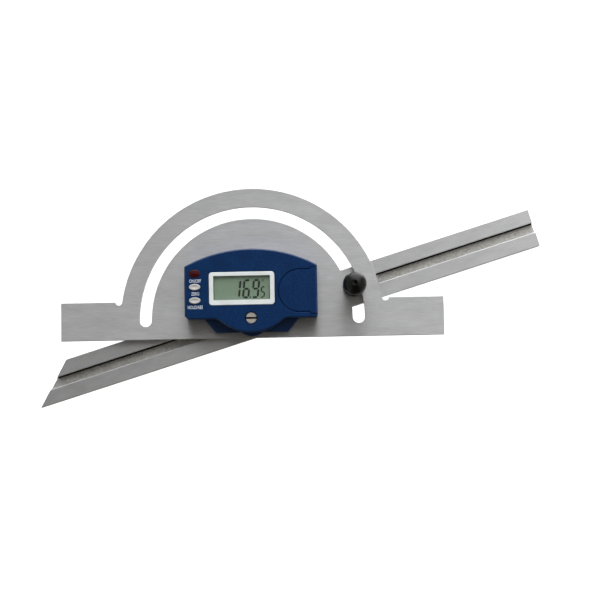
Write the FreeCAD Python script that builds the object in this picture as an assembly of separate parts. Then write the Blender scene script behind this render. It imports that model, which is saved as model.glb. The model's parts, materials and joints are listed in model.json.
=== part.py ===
"""Digital angle finder: a steel protractor plate with a slotted bow, a grooved sliding rail, a display unit.

Millimetres. The origin is on the pivot axis, on the back face of the rail. +X runs along the base of the
plate, +Y towards the top of the bow and +Z out of the display. The tool lies on its back.
"""

import FreeCAD, Part
import math
import os

from FreeCAD import Vector

# --- Driving dimensions ------------------------------------------------------------------------------

reading_deg = 16.95          # angle between base and rail at rest

# protractor plate, ground steel
bow_radius = 75.0
base_length = 218.4
base_height = 22.0           # the pivot sits at half of this height
plate_thickness = 2.5
plate_chamfer = 0.25
relief_radius = 2.0          # round relief where the bow meets the base
slot_radius = 60.8           # centre line of the bow slot
slot_width = 7.0
slide_gap = 0.05             # oil film between rail and plate

# rail, ground steel with a dovetail groove
rail_length = 300.0
rail_width = 22.0
rail_thickness = 4.0
rail_reach = 169.7           # pivot to the square end
rail_point_deg = 45.0
rail_chamfer = 0.3
groove_mouth = 5.5
groove_depth = 2.4
groove_lip = 0.35            # broken edge of the groove's mouth
groove_flank_deg = 60.0
key_clearance = 0.08

# fits
running_clearance = 0.03     # turning fits
assembly_clearance = 0.05    # threads and parts that are laid in
seam_clearance = 0.15        # between neighbouring plastic parts

# pivot
hub_radius = 4.5
hub_key_length = 16.0
hub_shoulder = 1.3           # step from the hub to its spigot
bush_wall = 1.5
bush_stand = 0.6             # height of the bush above the plate
spring_thickness = 0.25
spring_rise = 0.21
rotor_radius = 6.2
rotor_carrier_thickness = 1.0
rotor_thickness = 0.8
sensor_gap = 0.2             # air gap between rotor and sensor board
screw_radius = 2.0           # pivot screw, M4
screw_head_overhang = 1.15
screw_head_height = 2.2
screw_slot_width = 0.8
screw_slot_depth = 1.0
screw_engagement = 4.2       # thread length inside the hub
screw_recess = 0.45          # screw head below the front face
screw_room = 0.4             # gap around the screw head
sleeve_wall = 1.05
spigot_wall = 0.5            # steel between the spigot's flats and its thread

# clamp in the bow slot
bolt_key_length = 10.0
shank_clearance = 0.5
bolt_radius = 2.5            # M5 thread
bolt_below_plate = 0.1       # the shank ends just below the plate's front
washer_overlap = 2.6         # how far the washer covers the slot's edges
washer_thickness = 0.8
knob_ball_radius = 6.62
knob_ball_height = 16.0      # ball centre above the plate
knob_stem_wall = 1.0         # plastic around the insert
knob_foot_inset = 0.2        # the knob's foot is smaller than the washer
knob_foot_height = 2.0
knob_dimple_radius = 1.4
knob_dimple_depth = 2.0
insert_wall = 0.85
insert_groove = 0.4
insert_end = 0.5             # closed end of the insert
bolt_end_gap = 0.3
bolt_in_insert = 11.2        # thread length inside the insert

# covers of the display unit
cover_wall = 1.4
cover_face = 1.2             # thickness of front face and rear floor
cover_rise = 9.5             # height of the arched top edge
cover_hem = -0.3             # straight lower edges, measured from the pivot
cover_edge_round = 1.0
cover_corner_round = 1.2
cover_corner_cut = 2.0       # cut corner at the lower left
bulge_radius = 26.0          # round nose under the display
bulge_fillet = 7.0
rotor_room = 0.6             # gap between the rotor and the nose
rear_height = 3.5
foot_half_top = 27.0         # stepped foot of the rear cover
foot_half_bottom = 20.6
foot_drop = 7.8              # the foot's straight lower edge, below the pivot
foot_round = 2.6
foot_edge_round = 0.5
pivot_boss_radius = 10.0     # round boss of the rear cover about the pivot

# display
bezel_width = 36.8
bezel_height = 18.6
bezel_lift = 1.8             # bezel centre above the cell's centre
bezel_round = 1.8
bezel_proud = 0.1
bezel_rim = 0.9              # thickness of the visible frame
bezel_wall = 1.0
bezel_flange = 0.6
bezel_flange_thickness = 0.7
bezel_depth = 3.9
bezel_edge_round = 0.35
window_width = 31.8
window_height = 13.6
window_shift = 0.4           # window centre above the bezel centre
window_round = 0.4
lens_thickness = 0.5
lcd_thickness = 1.5
lcd_clearance = 0.1
strip_width = 1.6

# buttons
button_margin = 2.7          # from the cover's side
button_bezel_gap = 4.8
button_top_margin = 4.2      # from the cover's shoulder to the top button's centre
button_pitch = 7.57
button_half_width = 3.2
button_half_height = 1.8
power_half_height = 2.2
button_proud = 0.6
button_travel = 0.5
button_flange = 0.5
button_flange_thickness = 0.6
button_edge_round = 0.35
dome_radius = 1.6
dome_tip_radius = 0.9

# circuit board
board_thickness = 1.0
board_clearance = 0.2
chip_radius = 3.2
chip_height = 1.2
crystal_radius = 1.0
crystal_length = 6.0
crystal_offset = 10.0

# coin cell (CR2032), its pocket and its lid
cell_radius = 10.0
cell_thickness = 3.2
cell_clearance = 0.15
cell_side_gap = 2.2          # from the cell to the cover's side
cell_bezel_gap = 1.9
cell_can_step = 1.2          # width of the step around the negative face
pocket_wall = 0.8
pocket_floor_thickness = 0.8
contact_thickness = 0.2
contact_width = 4.0
lid_round_shift = 2.2        # centre of the lid's round end, beyond the cell's centre
lid_overlap = 1.9            # lid beyond the cell
lid_end_step = 1.25          # extra half width of the lid's end block
lid_end_length = 4.2
lid_margin_low = 2.05        # from the lid to the cover's lower edge
lid_margin_high = 1.55       # from the lid to the cover's shoulder
lid_lip = 0.8
lid_lip_thickness = 0.6
lid_end_wall = 1.2
lid_end_depth = 3.65
lid_edge_break = 0.45        # broken edges of the lid and its opening

# screws of the display unit
mount_inset_low = (9.2, 5.3)     # from the cover's side and its lower edge
mount_inset_high = (7.2, 5.6)    # from the cover's side and its shoulder
mount_screw_radius = 1.25        # M2.5 countersunk, from the back of the plate
mount_head_radius = 2.3
mount_head_height = 1.1
mount_head_recess = 0.1
mount_boss_wall = 1.35
mount_screw_end = 0.4            # from the screw's end to the top of its boss
case_inset_low = (3.8, 3.2)      # from the cover's side and its lower edge
case_inset_high = (15.2, 3.4)    # from the cover's side and down from its arched edge
case_screw_radius = 1.1          # self-tapping, from behind the rear cover
case_head_radius = 1.9
case_head_height = 0.65
case_screw_length = 6.0
case_boss_wall = 1.0
case_boss_end = 1.1              # boss beyond the end of its screw
driver_width = 0.5               # cross recess in the screw heads
driver_depth = 0.45

# --- Levels and places worked out from the dimensions --------------------------------------------------

plate_back = rail_thickness + slide_gap
plate_front = plate_back + plate_thickness
half_base = base_height / 2

groove_floor = rail_thickness - groove_depth
groove_spread = 1 / math.tan(math.radians(groove_flank_deg))
rail_tail = rail_reach - rail_length

bush_radius = hub_radius + running_clearance + bush_wall
bush_top = plate_front + bush_stand
spring_height = spring_thickness + spring_rise
rotor_seat = bush_top + spring_height + 2 * running_clearance
rotor_top = rotor_seat + rotor_carrier_thickness + rotor_thickness
board_back = rotor_top + sensor_gap
board_front = board_back + board_thickness
spigot_radius = hub_radius - hub_shoulder
spigot_half_flats = screw_radius + assembly_clearance + spigot_wall

pocket_back = board_front + board_clearance
pocket_floor = pocket_back + pocket_floor_thickness
cell_back = pocket_floor + contact_thickness
cell_top = cell_back + cell_thickness
lid_lip_back = cell_top + cell_clearance
cover_ceiling = lid_lip_back + lid_lip_thickness
cover_front = cover_ceiling + cover_face
rear_floor = plate_front + cover_face
rear_top = plate_front + rear_height

screw_head_radius = screw_radius + screw_head_overhang
screw_head_top = cover_front - screw_recess
screw_head_seat = screw_head_top - screw_head_height
screw_foot = rotor_top - screw_engagement
sleeve_radius = screw_radius + sleeve_wall
nose_hole_radius = screw_head_radius + screw_room

cover_half_width = (button_margin + 2 * button_half_width + button_bezel_gap + bezel_width + cell_bezel_gap
                    + 2 * cell_radius + cell_side_gap) / 2
lid_radius = cell_radius + lid_overlap
lid_wide_half = lid_radius + lid_end_step
cell_x = cover_half_width - cell_side_gap - cell_radius
cell_y = cover_hem + lid_margin_low + lid_wide_half
cover_shoulder = cell_y + lid_wide_half + lid_margin_high
cover_crown = cover_shoulder + cover_rise
cover_arch_radius = (cover_half_width ** 2 + cover_rise ** 2) / (2 * cover_rise)
lid_round_x = cell_x + lid_round_shift
lid_wide_x = cover_half_width - lid_end_length
contact_x = cell_x - cell_radius
pocket_radius = cell_radius + cell_clearance

bulge_drop = rotor_radius + rotor_room + cover_wall
bulge_y = bulge_radius - bulge_drop
bulge_fillet_y = cover_hem - bulge_fillet
bulge_fillet_x = math.sqrt((bulge_radius + bulge_fillet) ** 2 - (bulge_y - bulge_fillet_y) ** 2)

bezel_x = contact_x - cell_bezel_gap - bezel_width / 2
bezel_y = cell_y + bezel_lift
bezel_top = cover_front + bezel_proud
lens_top = bezel_top - bezel_rim
lcd_top = lens_top - lens_thickness
lcd_back = lcd_top - lcd_thickness
lcd_width = bezel_width - 2 * bezel_wall - 2 * lcd_clearance
lcd_height = bezel_height - 2 * bezel_wall - 2 * lcd_clearance

button_x = -cover_half_width + button_margin + button_half_width
button_ys = [cover_shoulder - button_top_margin - row * button_pitch for row in range(3)]
button_half_heights = (power_half_height, button_half_height, button_half_height)
button_seat = cover_ceiling - seam_clearance
button_back = button_seat - button_flange_thickness

bolt_shank_radius = slot_width / 2 - shank_clearance
insert_radius = bolt_radius + assembly_clearance + insert_wall
insert_length = bolt_in_insert + bolt_end_gap + insert_end
washer_radius = slot_width / 2 + washer_overlap
washer_top = plate_front + washer_thickness
knob_stem_radius = insert_radius + knob_stem_wall
knob_foot_radius = washer_radius - knob_foot_inset
ball_z = plate_front + knob_ball_height
clamp_x = slot_radius * math.cos(math.radians(reading_deg))
clamp_y = slot_radius * math.sin(math.radians(reading_deg))

mount_boss_radius = mount_screw_radius + mount_boss_wall
case_boss_radius = case_screw_radius + case_boss_wall
case_screw_top = plate_front + case_head_height + case_screw_length
case_boss_top = case_screw_top + case_boss_end


def arch_height(x):
    """Height of the cover's arched edge at x."""
    return cover_crown - cover_arch_radius + math.sqrt(cover_arch_radius ** 2 - x ** 2)


def both_sides(x, y):
    return [(-x, y), (x, y)]


mount_screw_xy = (both_sides(cover_half_width - mount_inset_low[0], cover_hem + mount_inset_low[1])
                  + both_sides(cover_half_width - mount_inset_high[0], cover_shoulder - mount_inset_high[1]))
case_high_x = cover_half_width - case_inset_high[0]
case_screw_xy = (both_sides(cover_half_width - case_inset_low[0], cover_hem + case_inset_low[1])
                 + both_sides(case_high_x, arch_height(case_high_x) - case_inset_high[1]))

OVERCUT = 1.0                # how far a cutting tool runs past what it cuts


# --- Solids ----------------------------------------------------------------------------------------------

def cylinder(radius, low, high, x=0.0, y=0.0):
    return Part.makeCylinder(radius, high - low, Vector(x, y, low))


def ring(outer, inner, low, high, x=0.0, y=0.0):
    return cylinder(outer, low, high, x, y).cut(cylinder(inner, low - OVERCUT, high + OVERCUT, x, y))


def slab(x0, x1, y0, y1, low, high):
    return Part.makeBox(x1 - x0, y1 - y0, high - low, Vector(x0, y0, low))


def upright_edges(solid):
    """The edges of a prism that run along Z."""
    return [e for e in solid.Edges if e.BoundBox.ZLength > 1e-3 and e.BoundBox.XLength + e.BoundBox.YLength < 1e-3]


def edges_at(solid, level):
    """The edges that lie in the plane z = level."""
    return [e for e in solid.Edges if abs(e.BoundBox.ZMin - level) < 1e-4 and abs(e.BoundBox.ZMax - level) < 1e-4]


def rounded_slab(x, y, width, height, radius, low, high):
    block = slab(x - width / 2, x + width / 2, y - height / 2, y + height / 2, low, high)
    return block.makeFillet(radius, upright_edges(block))


def oval(x, y, half_width, half_height, low, high):
    curve = Part.Ellipse(Vector(x, y, low), half_width, half_height)
    return prism(Part.Face(Part.Wire(curve.toShape())), low, high)


def prism(face, low, high):
    """A flat face, moved to z = low and drawn up to z = high."""
    base = face.copy()
    base.translate(Vector(0, 0, low - face.BoundBox.ZMin))
    return base.extrude(Vector(0, 0, high - low))


def polygon_face(points):
    corners = [Vector(*p) for p in points]
    return Part.Face(Part.makePolygon(corners + corners[:1]))


def turned(shape, degrees=reading_deg):
    """A copy turned about the pivot."""
    copy = shape.copy()
    copy.rotate(Vector(0, 0, 0), Vector(0, 0, 1), degrees)
    return copy


def cross_recess(x, y, size, low, high):
    arm = driver_width / 2
    return slab(x - size, x + size, y - arm, y + arm, low, high).fuse(
        slab(x - arm, x + arm, y - size, y + size, low, high))


# --- Steel plate and rail ----------------------------------------------------------------------------------

def bow_slot():
    low, high = plate_back - OVERCUT, plate_front + OVERCUT
    outer = slot_radius + slot_width / 2
    track = ring(outer, slot_radius - slot_width / 2, low, high)
    track = track.common(slab(-outer, outer, 0, outer, low, high))
    for side in (-1, 1):
        track = track.fuse(cylinder(slot_width / 2, low, high, side * slot_radius))
    return track


def protractor_plate():
    base = slab(-base_length / 2, base_length / 2, -half_base, half_base, plate_back, plate_front)
    bow = cylinder(bow_radius, plate_back, plate_front).common(
        slab(-base_length, base_length, 0, base_length, plate_back, plate_front))
    plate = base.fuse(bow).removeSplitter()
    plate = plate.makeChamfer(plate_chamfer, edges_at(plate, plate_front) + edges_at(plate, plate_back))
    relief_x = math.sqrt(bow_radius ** 2 - half_base ** 2) + relief_radius
    for side in (-1, 1):
        plate = plate.cut(cylinder(relief_radius, plate_back - OVERCUT, plate_front + OVERCUT,
                                   side * relief_x, half_base))
    plate = plate.cut(bow_slot())
    plate = plate.cut(cylinder(bush_radius, plate_back - OVERCUT, plate_front + OVERCUT))
    for x, y in mount_screw_xy:
        plate = plate.cut(countersunk_body(x, y, assembly_clearance, plate_front + OVERCUT))
    return plate


def countersunk_body(x, y, extra, high):
    """Head cone and shank of a mount screw, grown by extra, up to z = high."""
    seat = plate_back + mount_head_recess
    body = Part.makeCone(mount_head_radius + extra, mount_screw_radius + extra, mount_head_height, Vector(x, y, seat))
    body = body.fuse(cylinder(mount_screw_radius + extra, seat, high, x, y))
    if extra:
        body = body.fuse(cylinder(mount_head_radius + extra, plate_back - OVERCUT, seat, x, y))
    return body


def rail():
    half, c = rail_width / 2, rail_chamfer
    mouth, top = groove_mouth / 2, rail_thickness
    floor_half = mouth + (groove_depth - groove_lip) * groove_spread
    right = [(half - c, 0), (half, c), (half, top - c), (half - c, top),
             (mouth + groove_lip, top), (mouth, top - groove_lip), (floor_half, groove_floor)]
    section = right + [(-y, z) for y, z in reversed(right)]
    bar = polygon_face([(rail_tail, y, z) for y, z in section]).extrude(Vector(rail_length, 0, 0))
    slope = math.tan(math.radians(rail_point_deg))
    point = polygon_face([(rail_tail - OVERCUT, -half - OVERCUT * slope, 0),
                          (rail_tail + (rail_width + OVERCUT) / slope, half + OVERCUT, 0),
                          (rail_tail - OVERCUT, half + OVERCUT, 0)])
    return turned(bar.cut(prism(point, -OVERCUT, rail_thickness + OVERCUT)))


def groove_key(length, x):
    """A dovetail key that fills the groove with key_clearance, centred at x along the rail."""
    neck = groove_mouth / 2 - key_clearance
    low = groove_floor + key_clearance
    shoulder = rail_thickness - groove_lip
    foot = neck + (shoulder - low) * groove_spread
    right = [(foot, low), (neck, shoulder), (neck, plate_back)]
    section = right + [(-y, z) for y, z in reversed(right)]
    return polygon_face([(x - length / 2, y, z) for y, z in section]).extrude(Vector(length, 0, 0))


# --- Pivot -----------------------------------------------------------------------------------------------------

def pivot_bush():
    return ring(bush_radius, hub_radius + running_clearance, plate_back, bush_top)


def spigot(extra, low, high):
    flat = spigot_half_flats + extra
    reach = spigot_radius + extra
    return cylinder(reach, low, high).common(slab(-reach, reach, -flat, flat, low, high))


def pivot_hub():
    hub = groove_key(hub_key_length, 0).fuse(cylinder(hub_radius, plate_back, rotor_seat))
    hub = hub.fuse(spigot(0, rotor_seat, rotor_top - assembly_clearance))
    return turned(hub.cut(cylinder(screw_radius + assembly_clearance, screw_foot - assembly_clearance, rotor_top)))


def curved_spring():
    """A one-bend spring washer: a ring cut from an arched strip."""
    low = bush_top + running_clearance
    arch = (bush_radius ** 2 + spring_rise ** 2) / (2 * spring_rise)
    centre = Vector(0, -bush_radius, low + spring_rise - arch)
    axis = Vector(0, 1, 0)
    strip = Part.makeCylinder(arch + spring_thickness, 2 * bush_radius, centre, axis).cut(
        Part.makeCylinder(arch, 2 * bush_radius, centre, axis))
    washer = ring(bush_radius, hub_radius + running_clearance, low, low + spring_height + OVERCUT)
    return turned(washer.common(strip))


def rotor_carrier():
    top = rotor_seat + rotor_carrier_thickness
    plate = cylinder(rotor_radius, rotor_seat, top)
    return turned(plate.cut(spigot(running_clearance, rotor_seat - OVERCUT, top + OVERCUT)))


def rotor_disc():
    low = rotor_seat + rotor_carrier_thickness
    disc = cylinder(rotor_radius, low, rotor_top)
    return turned(disc.cut(spigot(running_clearance, low - OVERCUT, rotor_top + OVERCUT)))


def spacer_sleeve():
    return ring(sleeve_radius, screw_radius + assembly_clearance, rotor_top, screw_head_seat)


def pivot_screw():
    screw = cylinder(screw_radius, screw_foot, screw_head_seat)
    head = cylinder(screw_head_radius, screw_head_seat, screw_head_top)
    head = head.makeChamfer(plate_chamfer, edges_at(head, screw_head_top))
    slot = slab(-screw_head_radius, screw_head_radius, -screw_slot_width / 2, screw_slot_width / 2,
                screw_head_top - screw_slot_depth, screw_head_top + OVERCUT)
    return screw.fuse(head.cut(slot))


# --- Clamp -------------------------------------------------------------------------------------------------------

def clamp_bolt():
    shank_top = plate_front - bolt_below_plate
    bolt = groove_key(bolt_key_length, slot_radius)
    bolt = bolt.fuse(cylinder(bolt_shank_radius, plate_back, shank_top, slot_radius))
    bolt = bolt.fuse(cylinder(bolt_radius, shank_top, washer_top + bolt_in_insert, slot_radius))
    return turned(bolt)


def clamp_washer():
    return ring(washer_radius, bolt_radius + key_clearance, plate_front, washer_top, clamp_x, clamp_y)


def insert_body(extra):
    """The brass insert's outside, with the ring groove that holds it in the knob."""
    high = washer_top + insert_length
    middle = (washer_top + high) / 2
    body = cylinder(insert_radius + extra, washer_top, high, clamp_x, clamp_y)
    groove = ring(insert_radius + OVERCUT, insert_radius - insert_groove + extra,
                  middle - insert_groove, middle + insert_groove, clamp_x, clamp_y)
    return body.cut(groove)


def knob_insert():
    bore = cylinder(bolt_radius + assembly_clearance, washer_top - OVERCUT,
                    washer_top + bolt_in_insert + bolt_end_gap, clamp_x, clamp_y)
    return insert_body(0).cut(bore)


def clamp_knob():
    stem = cylinder(knob_stem_radius, washer_top, ball_z, clamp_x, clamp_y)
    foot = cylinder(knob_foot_radius, washer_top, washer_top + knob_foot_height, clamp_x, clamp_y)
    ball = Part.makeSphere(knob_ball_radius, Vector(clamp_x, clamp_y, ball_z))
    ball_top = ball_z + knob_ball_radius
    dimple = cylinder(knob_dimple_radius, ball_top - knob_dimple_depth, ball_top + OVERCUT, clamp_x, clamp_y)
    return foot.fuse(stem).fuse(ball).removeSplitter().cut(dimple).cut(insert_body(0))


# --- Covers of the display unit --------------------------------------------------------------------------------

def cover_outline():
    """Outline of the front cover: arched top, straight sides, round nose below the pivot."""
    wide, hem, cut = cover_half_width, cover_hem, cover_corner_cut
    share = bulge_radius / (bulge_radius + bulge_fillet)
    nose_x = bulge_fillet_x * share
    nose_y = bulge_y - (bulge_y - bulge_fillet_y) * share
    lean = math.atan2(bulge_y - bulge_fillet_y, bulge_fillet_x)
    bend = (lean + math.pi / 2) / 2
    bend_x = bulge_fillet_x - bulge_fillet * math.cos(bend)
    bend_y = bulge_fillet_y + bulge_fillet * math.sin(bend)

    def p(x, y):
        return Vector(x, y, 0)

    edges = [
        Part.LineSegment(p(-wide, hem + cut), p(-wide, cover_shoulder)),
        Part.Arc(p(-wide, cover_shoulder), p(0, cover_crown), p(wide, cover_shoulder)),
        Part.LineSegment(p(wide, cover_shoulder), p(wide, hem)),
        Part.LineSegment(p(wide, hem), p(bulge_fillet_x, hem)),
        Part.Arc(p(bulge_fillet_x, hem), p(bend_x, bend_y), p(nose_x, nose_y)),
        Part.Arc(p(nose_x, nose_y), p(0, -bulge_drop), p(-nose_x, nose_y)),
        Part.Arc(p(-nose_x, nose_y), p(-bend_x, bend_y), p(-bulge_fillet_x, hem)),
        Part.LineSegment(p(-bulge_fillet_x, hem), p(-wide + cut, hem)),
        Part.LineSegment(p(-wide + cut, hem), p(-wide, hem + cut)),
    ]
    return Part.Face(Part.Wire([e.toShape() for e in edges]))


def inner_outline(inset):
    """The cover's outline, drawn in by inset."""
    return cover_outline().makeOffset2D(-inset)


def side_corners(solid):
    """Upright edges at the sides of a cover, which have a small rounding."""
    return [e for e in upright_edges(solid) if abs(e.CenterOfMass.x) > cover_half_width - cover_corner_cut - 0.1]


def rear_cover():
    foot = polygon_face([(-foot_half_top, cover_hem, 0), (-foot_half_bottom, -foot_drop, 0),
                         (foot_half_bottom, -foot_drop, 0), (foot_half_top, cover_hem, 0),
                         (foot_half_top, cover_hem + OVERCUT, 0), (-foot_half_top, cover_hem + OVERCUT, 0)])
    body = prism(cover_outline(), plate_front, rear_top).fuse(prism(foot, plate_front, rear_top)).removeSplitter()
    body = body.makeFillet(cover_corner_round, side_corners(body))
    foot_corners = [e for e in upright_edges(body) if abs(e.CenterOfMass.x) < foot_half_top + 0.1]
    body = body.makeFillet(foot_round, foot_corners)
    steps = [e for e in edges_at(body, rear_top) if e.BoundBox.YMax < cover_hem - 0.1]
    body = body.makeFillet(foot_edge_round, steps)
    boss = cylinder(pivot_boss_radius, plate_front, rear_top)
    body = body.fuse(boss.makeFillet(foot_edge_round, edges_at(boss, rear_top))).removeSplitter()
    body = body.cut(prism(inner_outline(cover_wall), rear_floor, rear_top + OVERCUT))
    for x, y in mount_screw_xy:
        body = body.fuse(cylinder(mount_boss_radius, rear_floor, board_back, x, y))
    for x, y in mount_screw_xy:
        body = body.cut(cylinder(mount_screw_radius + assembly_clearance, plate_front - OVERCUT,
                                 board_back - mount_screw_end + assembly_clearance, x, y))
    for x, y in case_screw_xy:
        body = body.cut(case_screw_body(x, y, assembly_clearance))
    return body.cut(cylinder(rotor_radius + 2 * seam_clearance, plate_front - OVERCUT, rear_floor + OVERCUT))


def case_screw_body(x, y, extra):
    """Head and shank of a case screw, grown by extra."""
    seat = plate_front + case_head_height
    head = cylinder(case_head_radius + extra, plate_front - (OVERCUT if extra else 0), seat, x, y)
    return head.fuse(cylinder(case_screw_radius + extra, seat, seat + case_screw_length + extra, x, y))


def front_cover():
    body = prism(cover_outline(), rear_top, cover_front)
    body = body.makeFillet(cover_corner_round, side_corners(body))
    body = body.makeFillet(cover_edge_round, edges_at(body, cover_front))
    body = body.cut(prism(inner_outline(cover_wall), rear_top - OVERCUT, cover_ceiling))
    inside = prism(inner_outline(cover_wall / 2), rear_floor, cover_ceiling)
    for x, y in case_screw_xy:
        boss = cylinder(case_boss_radius, rear_floor, case_boss_top, x, y)
        rib = cylinder(case_boss_radius, rear_top, case_boss_top, x, y)
        body = body.fuse(boss.common(prism(inner_outline(cover_wall + seam_clearance), rear_floor, cover_front)))
        body = body.fuse(rib.common(inside))
    tube = ring(nose_hole_radius + pocket_wall, nose_hole_radius, board_front + board_clearance, cover_ceiling)
    body = body.fuse(tube).fuse(cell_pocket())
    body = body.cut(cylinder(nose_hole_radius, board_front, cover_front + OVERCUT))
    body = body.cut(rounded_slab(bezel_x, bezel_y, bezel_width + 2 * seam_clearance, bezel_height + 2 * seam_clearance,
                                 bezel_round, cover_ceiling - OVERCUT, cover_front + OVERCUT))
    for y, half_height in zip(button_ys, button_half_heights):
        body = body.cut(oval(button_x, y, button_half_width + seam_clearance, half_height + seam_clearance,
                             cover_ceiling - OVERCUT, cover_front + OVERCUT))
    for x, y in case_screw_xy:
        body = body.cut(case_screw_body(x, y, assembly_clearance))
    body = body.cut(lid_shape(seam_clearance))
    lid_start = lid_round_x - lid_radius - seam_clearance
    rim = [e for e in edges_at(body, cover_front)
           if e.BoundBox.XMin > lid_start - assembly_clearance and e.BoundBox.XMax < lid_wide_x]
    return body.makeChamfer(lid_edge_break, rim)


# --- Display ---------------------------------------------------------------------------------------------------

def display_bezel():
    low = bezel_top - bezel_depth
    frame = rounded_slab(bezel_x, bezel_y, bezel_width, bezel_height, bezel_round, low, bezel_top)
    frame = frame.makeFillet(bezel_edge_round, edges_at(frame, bezel_top))
    flange = rounded_slab(bezel_x, bezel_y, bezel_width + 2 * bezel_flange, bezel_height + 2 * bezel_flange,
                          bezel_round, cover_ceiling - bezel_flange_thickness, cover_ceiling)
    frame = frame.fuse(flange)
    frame = frame.cut(slab(bezel_x - bezel_width / 2 + bezel_wall, bezel_x + bezel_width / 2 - bezel_wall,
                           bezel_y - bezel_height / 2 + bezel_wall, bezel_y + bezel_height / 2 - bezel_wall,
                           low - OVERCUT, lens_top))
    return frame.cut(rounded_slab(bezel_x, bezel_y + window_shift, window_width, window_height, window_round,
                                  lens_top - OVERCUT, bezel_top + OVERCUT))


def display_sheet(low, high):
    """A glass sheet that lies in the bezel's pocket."""
    return slab(bezel_x - lcd_width / 2, bezel_x + lcd_width / 2,
                bezel_y - lcd_height / 2, bezel_y + lcd_height / 2, low, high)


def lcd_connector_strips():
    inset = lcd_height / 2 - strip_width
    strips = [slab(bezel_x - window_width / 2, bezel_x + window_width / 2, y - strip_width / 2, y + strip_width / 2,
                   board_front, lcd_back) for y in (bezel_y - inset, bezel_y + inset)]
    return Part.makeCompound(strips)


# --- Buttons ----------------------------------------------------------------------------------------------------

def button(row):
    y, half_height = button_ys[row], button_half_heights[row]
    top = cover_front + button_proud
    cap = oval(button_x, y, button_half_width, half_height, button_back, top)
    cap = cap.makeFillet(button_edge_round, edges_at(cap, top))
    return cap.fuse(oval(button_x, y, button_half_width + button_flange, half_height + button_flange,
                         button_back, button_seat))


def button_dome(row):
    """A silicone dome that stands on the board and carries its button."""
    return Part.makeCone(dome_radius, dome_tip_radius, button_back - board_front,
                         Vector(button_x, button_ys[row], board_front))


# --- Circuit board ----------------------------------------------------------------------------------------------

def sensor_board():
    board = prism(inner_outline(cover_wall + board_clearance), board_back, board_front)
    board = board.cut(cylinder(nose_hole_radius, board_back - OVERCUT, board_front + OVERCUT))
    for x, y in case_screw_xy:
        room = case_boss_radius + board_clearance
        side = cover_half_width if x > 0 else -cover_half_width
        edge = cover_crown if y > cell_y else -cover_crown
        board = board.cut(cylinder(room, board_back - OVERCUT, board_front + OVERCUT, x, y))
        board = board.cut(slab(min(x, side), max(x, side), min(y, edge), max(y, edge),
                               board_back - OVERCUT, board_front + OVERCUT))
    return board


def board_components():
    chip = cylinder(chip_radius, board_front, board_front + chip_height, bezel_x, bezel_y)
    chip = chip.makeFillet(chip_height / 2, edges_at(chip, board_front + chip_height))
    crystal = Part.makeCylinder(crystal_radius, crystal_length,
                                Vector(bezel_x + crystal_offset, bezel_y - crystal_length / 2,
                                       board_front + crystal_radius), Vector(0, 1, 0))
    return Part.makeCompound([chip, crystal])


# --- Coin cell and its lid ----------------------------------------------------------------------------------------

def cell_pocket():
    """Round pocket that hangs from the front cover's walls and holds the cell."""
    wall = cylinder(pocket_radius + pocket_wall, pocket_back, lid_lip_back - seam_clearance, cell_x, cell_y)
    wall = wall.cut(cylinder(pocket_radius, pocket_floor, lid_lip_back + OVERCUT, cell_x, cell_y))
    bridge = slab(cell_x, cover_half_width - cover_wall / 2, cell_y - lid_radius, cell_y + lid_radius,
                  pocket_back, pocket_floor)
    wall = wall.fuse(bridge)
    gate = slab(contact_x - pocket_wall - OVERCUT, contact_x + seam_clearance,
                cell_y - contact_width / 2 - seam_clearance, cell_y + contact_width / 2 + seam_clearance,
                pocket_back - OVERCUT, cell_top)
    wall = wall.cut(gate).cut(negative_leg(seam_clearance))
    return wall.common(prism(inner_outline(cover_wall / 2), rear_top, cover_ceiling))


def coin_cell():
    can = cylinder(cell_radius, cell_back + contact_thickness, cell_top, cell_x, cell_y)
    return can.fuse(cylinder(cell_radius - cell_can_step, cell_back, cell_top, cell_x, cell_y))


def negative_leg(extra):
    half = contact_width / 4 + extra
    x = cell_x - cell_radius / 2
    return slab(x - contact_thickness / 2 - extra, x + contact_thickness / 2 + extra,
                cell_y - half, cell_y + half, board_front, pocket_floor + contact_thickness)


def cell_contact_negative():
    leaf = slab(cell_x - cell_radius / 2 - contact_thickness / 2, cell_x + cell_radius / 2,
                cell_y - contact_width / 2, cell_y + contact_width / 2, pocket_floor, cell_back)
    return leaf.fuse(negative_leg(0))


def cell_contact_positive():
    x = contact_x
    half = contact_width / 2
    blade = slab(x - contact_thickness, x, cell_y - half, cell_y + half, board_front, cell_top - contact_thickness)
    solder_foot = slab(x - contact_thickness - pocket_wall, x, cell_y - half, cell_y + half,
                       board_front, board_front + contact_thickness)
    return blade.fuse(solder_foot)


def lid_shape(extra):
    """The lid of the cell, grown by extra. It leaves along +X, so a grown copy stays open on that side."""
    end = cover_half_width + (OVERCUT if extra else 0)
    top = cover_front + (OVERCUT if extra else 0)

    def tongue(radius, low, high):
        round_end = cylinder(radius, low, high, lid_round_x, cell_y)
        straight = slab(lid_round_x, lid_round_x + 2 * radius, cell_y - radius, cell_y + radius, low, high)
        return round_end.fuse(straight).common(slab(0, end, cell_y - radius, cell_y + radius, low, high))

    inner_end = cover_half_width - lid_end_wall - extra
    lid = tongue(lid_radius + extra, cover_ceiling, top)
    lid = lid.fuse(slab(lid_wide_x - extra, end, cell_y - lid_wide_half - extra, cell_y + lid_wide_half + extra,
                        cover_ceiling, top))
    lip = tongue(lid_radius + lid_lip + extra, lid_lip_back - extra, cover_ceiling)
    wall = slab(inner_end, end, cell_y - lid_radius - lid_lip - extra, cell_y + lid_radius + lid_lip + extra,
                cover_ceiling - lid_end_depth - extra, cover_ceiling)
    return lid.fuse(lip).fuse(wall).removeSplitter()


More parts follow.
